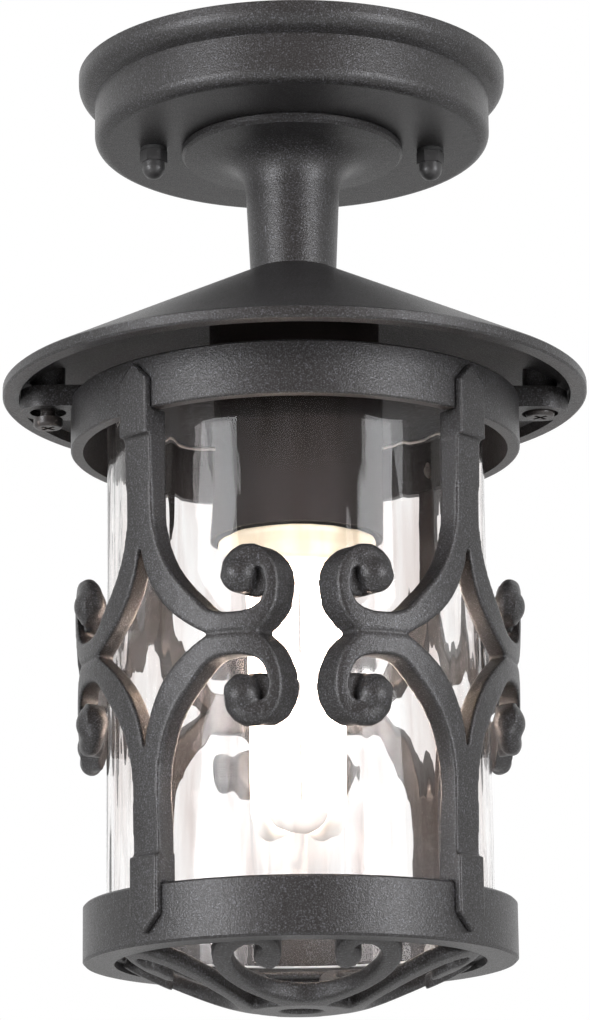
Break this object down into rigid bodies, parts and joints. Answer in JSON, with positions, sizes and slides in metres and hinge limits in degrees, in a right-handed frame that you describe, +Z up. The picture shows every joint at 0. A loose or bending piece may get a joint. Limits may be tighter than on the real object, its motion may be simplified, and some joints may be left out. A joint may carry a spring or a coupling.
{
  "type": "outdoor ceiling lantern",
  "caption": "Ceiling lantern with a round mounting plate, short stem, conical roof, scrolled cage around a clear glass cylinder, heart-scroll grille below and a screw-in lamp.",
  "frame": {"origin": "middle of the ceiling face, level with the rim and the mounting strap", "axes": "+Z up into the ceiling along the lantern's axis, +X right and -Y toward the viewer of the picture"},
  "size_m": [0.24, 0.24, 0.3915],
  "materials": {
    "powder_coat": "cast, textured charcoal powder coat",
    "black_nut": "semi-gloss black",
    "black_screw": "black coated",
    "zinc_steel": "zinc plated",
    "black_steel": "satin black",
    "brass": "plain",
    "rubber": "matt",
    "holder_plastic": "moulded",
    "holder_ceramic": "stands for unglazed ceramic",
    "terminal_plastic": "moulded",
    "wire_brown": "insulation",
    "wire_blue": "insulation",
    "wire_green": "insulation",
    "clear_glass": "clear, rippled",
    "lamp_glass": "white phosphor",
    "lamp_plastic": "cream",
    "lamp_metal": "plain",
    "lamp_black": "stands for black glass"
  },
  "bodies": {
    "fixture": {"ceiling_plate": "powder_coat", "stem": "powder_coat", "roof": "powder_coat", "cap_nuts": "black_nut", "mounting_bracket": "zinc_steel", "bracket_studs": "zinc_steel", "stud_lock_nuts": "zinc_steel", "threaded_tube": "black_steel", "tube_washers": "black_steel", "tube_nuts": "black_steel", "earth_screw": "brass", "earth_tag": "brass", "terminal_screws": "brass", "screw_shell": "brass", "middle_contact": "brass", "ceiling_gasket": "rubber", "stud_seals": "rubber", "holder_cup": "black_steel", "holder_cap": "holder_plastic", "holder_skirt": "holder_plastic", "holder_core": "holder_ceramic", "terminal_block": "terminal_plastic", "live_lead": "wire_brown", "neutral_lead": "wire_blue", "earth_lead": "wire_green"},
    "cage": {"upper_ring": "powder_coat", "lower_ring": "powder_coat", "bottom_grille": "powder_coat", "scroll_post_front_left": "powder_coat", "scroll_post_front_right": "powder_coat", "scroll_post_back_left": "powder_coat", "scroll_post_back_right": "powder_coat", "post_screws": "zinc_steel", "glass_seal": "rubber", "glass_cylinder": "clear_glass"},
    "lamp": {"lamp_cap": "lamp_metal", "lamp_insulator": "lamp_black", "lamp_tip": "lamp_metal", "lamp_ballast": "lamp_plastic", "lamp_tubes": "lamp_glass"},
    "screw_left": {"cage_screw_left": "black_screw"},
    "screw_right": {"cage_screw_right": "black_screw"}
  },
  "joints": [
    {"name": "lantern_drop", "type": "slide", "parent": "fixture", "child": "cage", "axis": [0, 0, -1], "range_m": [0, 0.21]},
    {"name": "lamp_turn", "type": "hinge", "parent": "fixture", "child": "lamp", "pos_m": [0, 0, -0.2], "axis": [0, 0, 1], "range_deg": [-1440, 0]},
    {"name": "screw_left_turn", "type": "hinge", "parent": "cage", "child": "screw_left", "pos_m": [-0.1013, 0, -0.145], "axis": [0, 0, 1], "continuous": true},
    {"name": "screw_right_turn", "type": "hinge", "parent": "cage", "child": "screw_right", "pos_m": [0.1013, 0, -0.145], "axis": [0, 0, 1], "continuous": true}
  ]
}
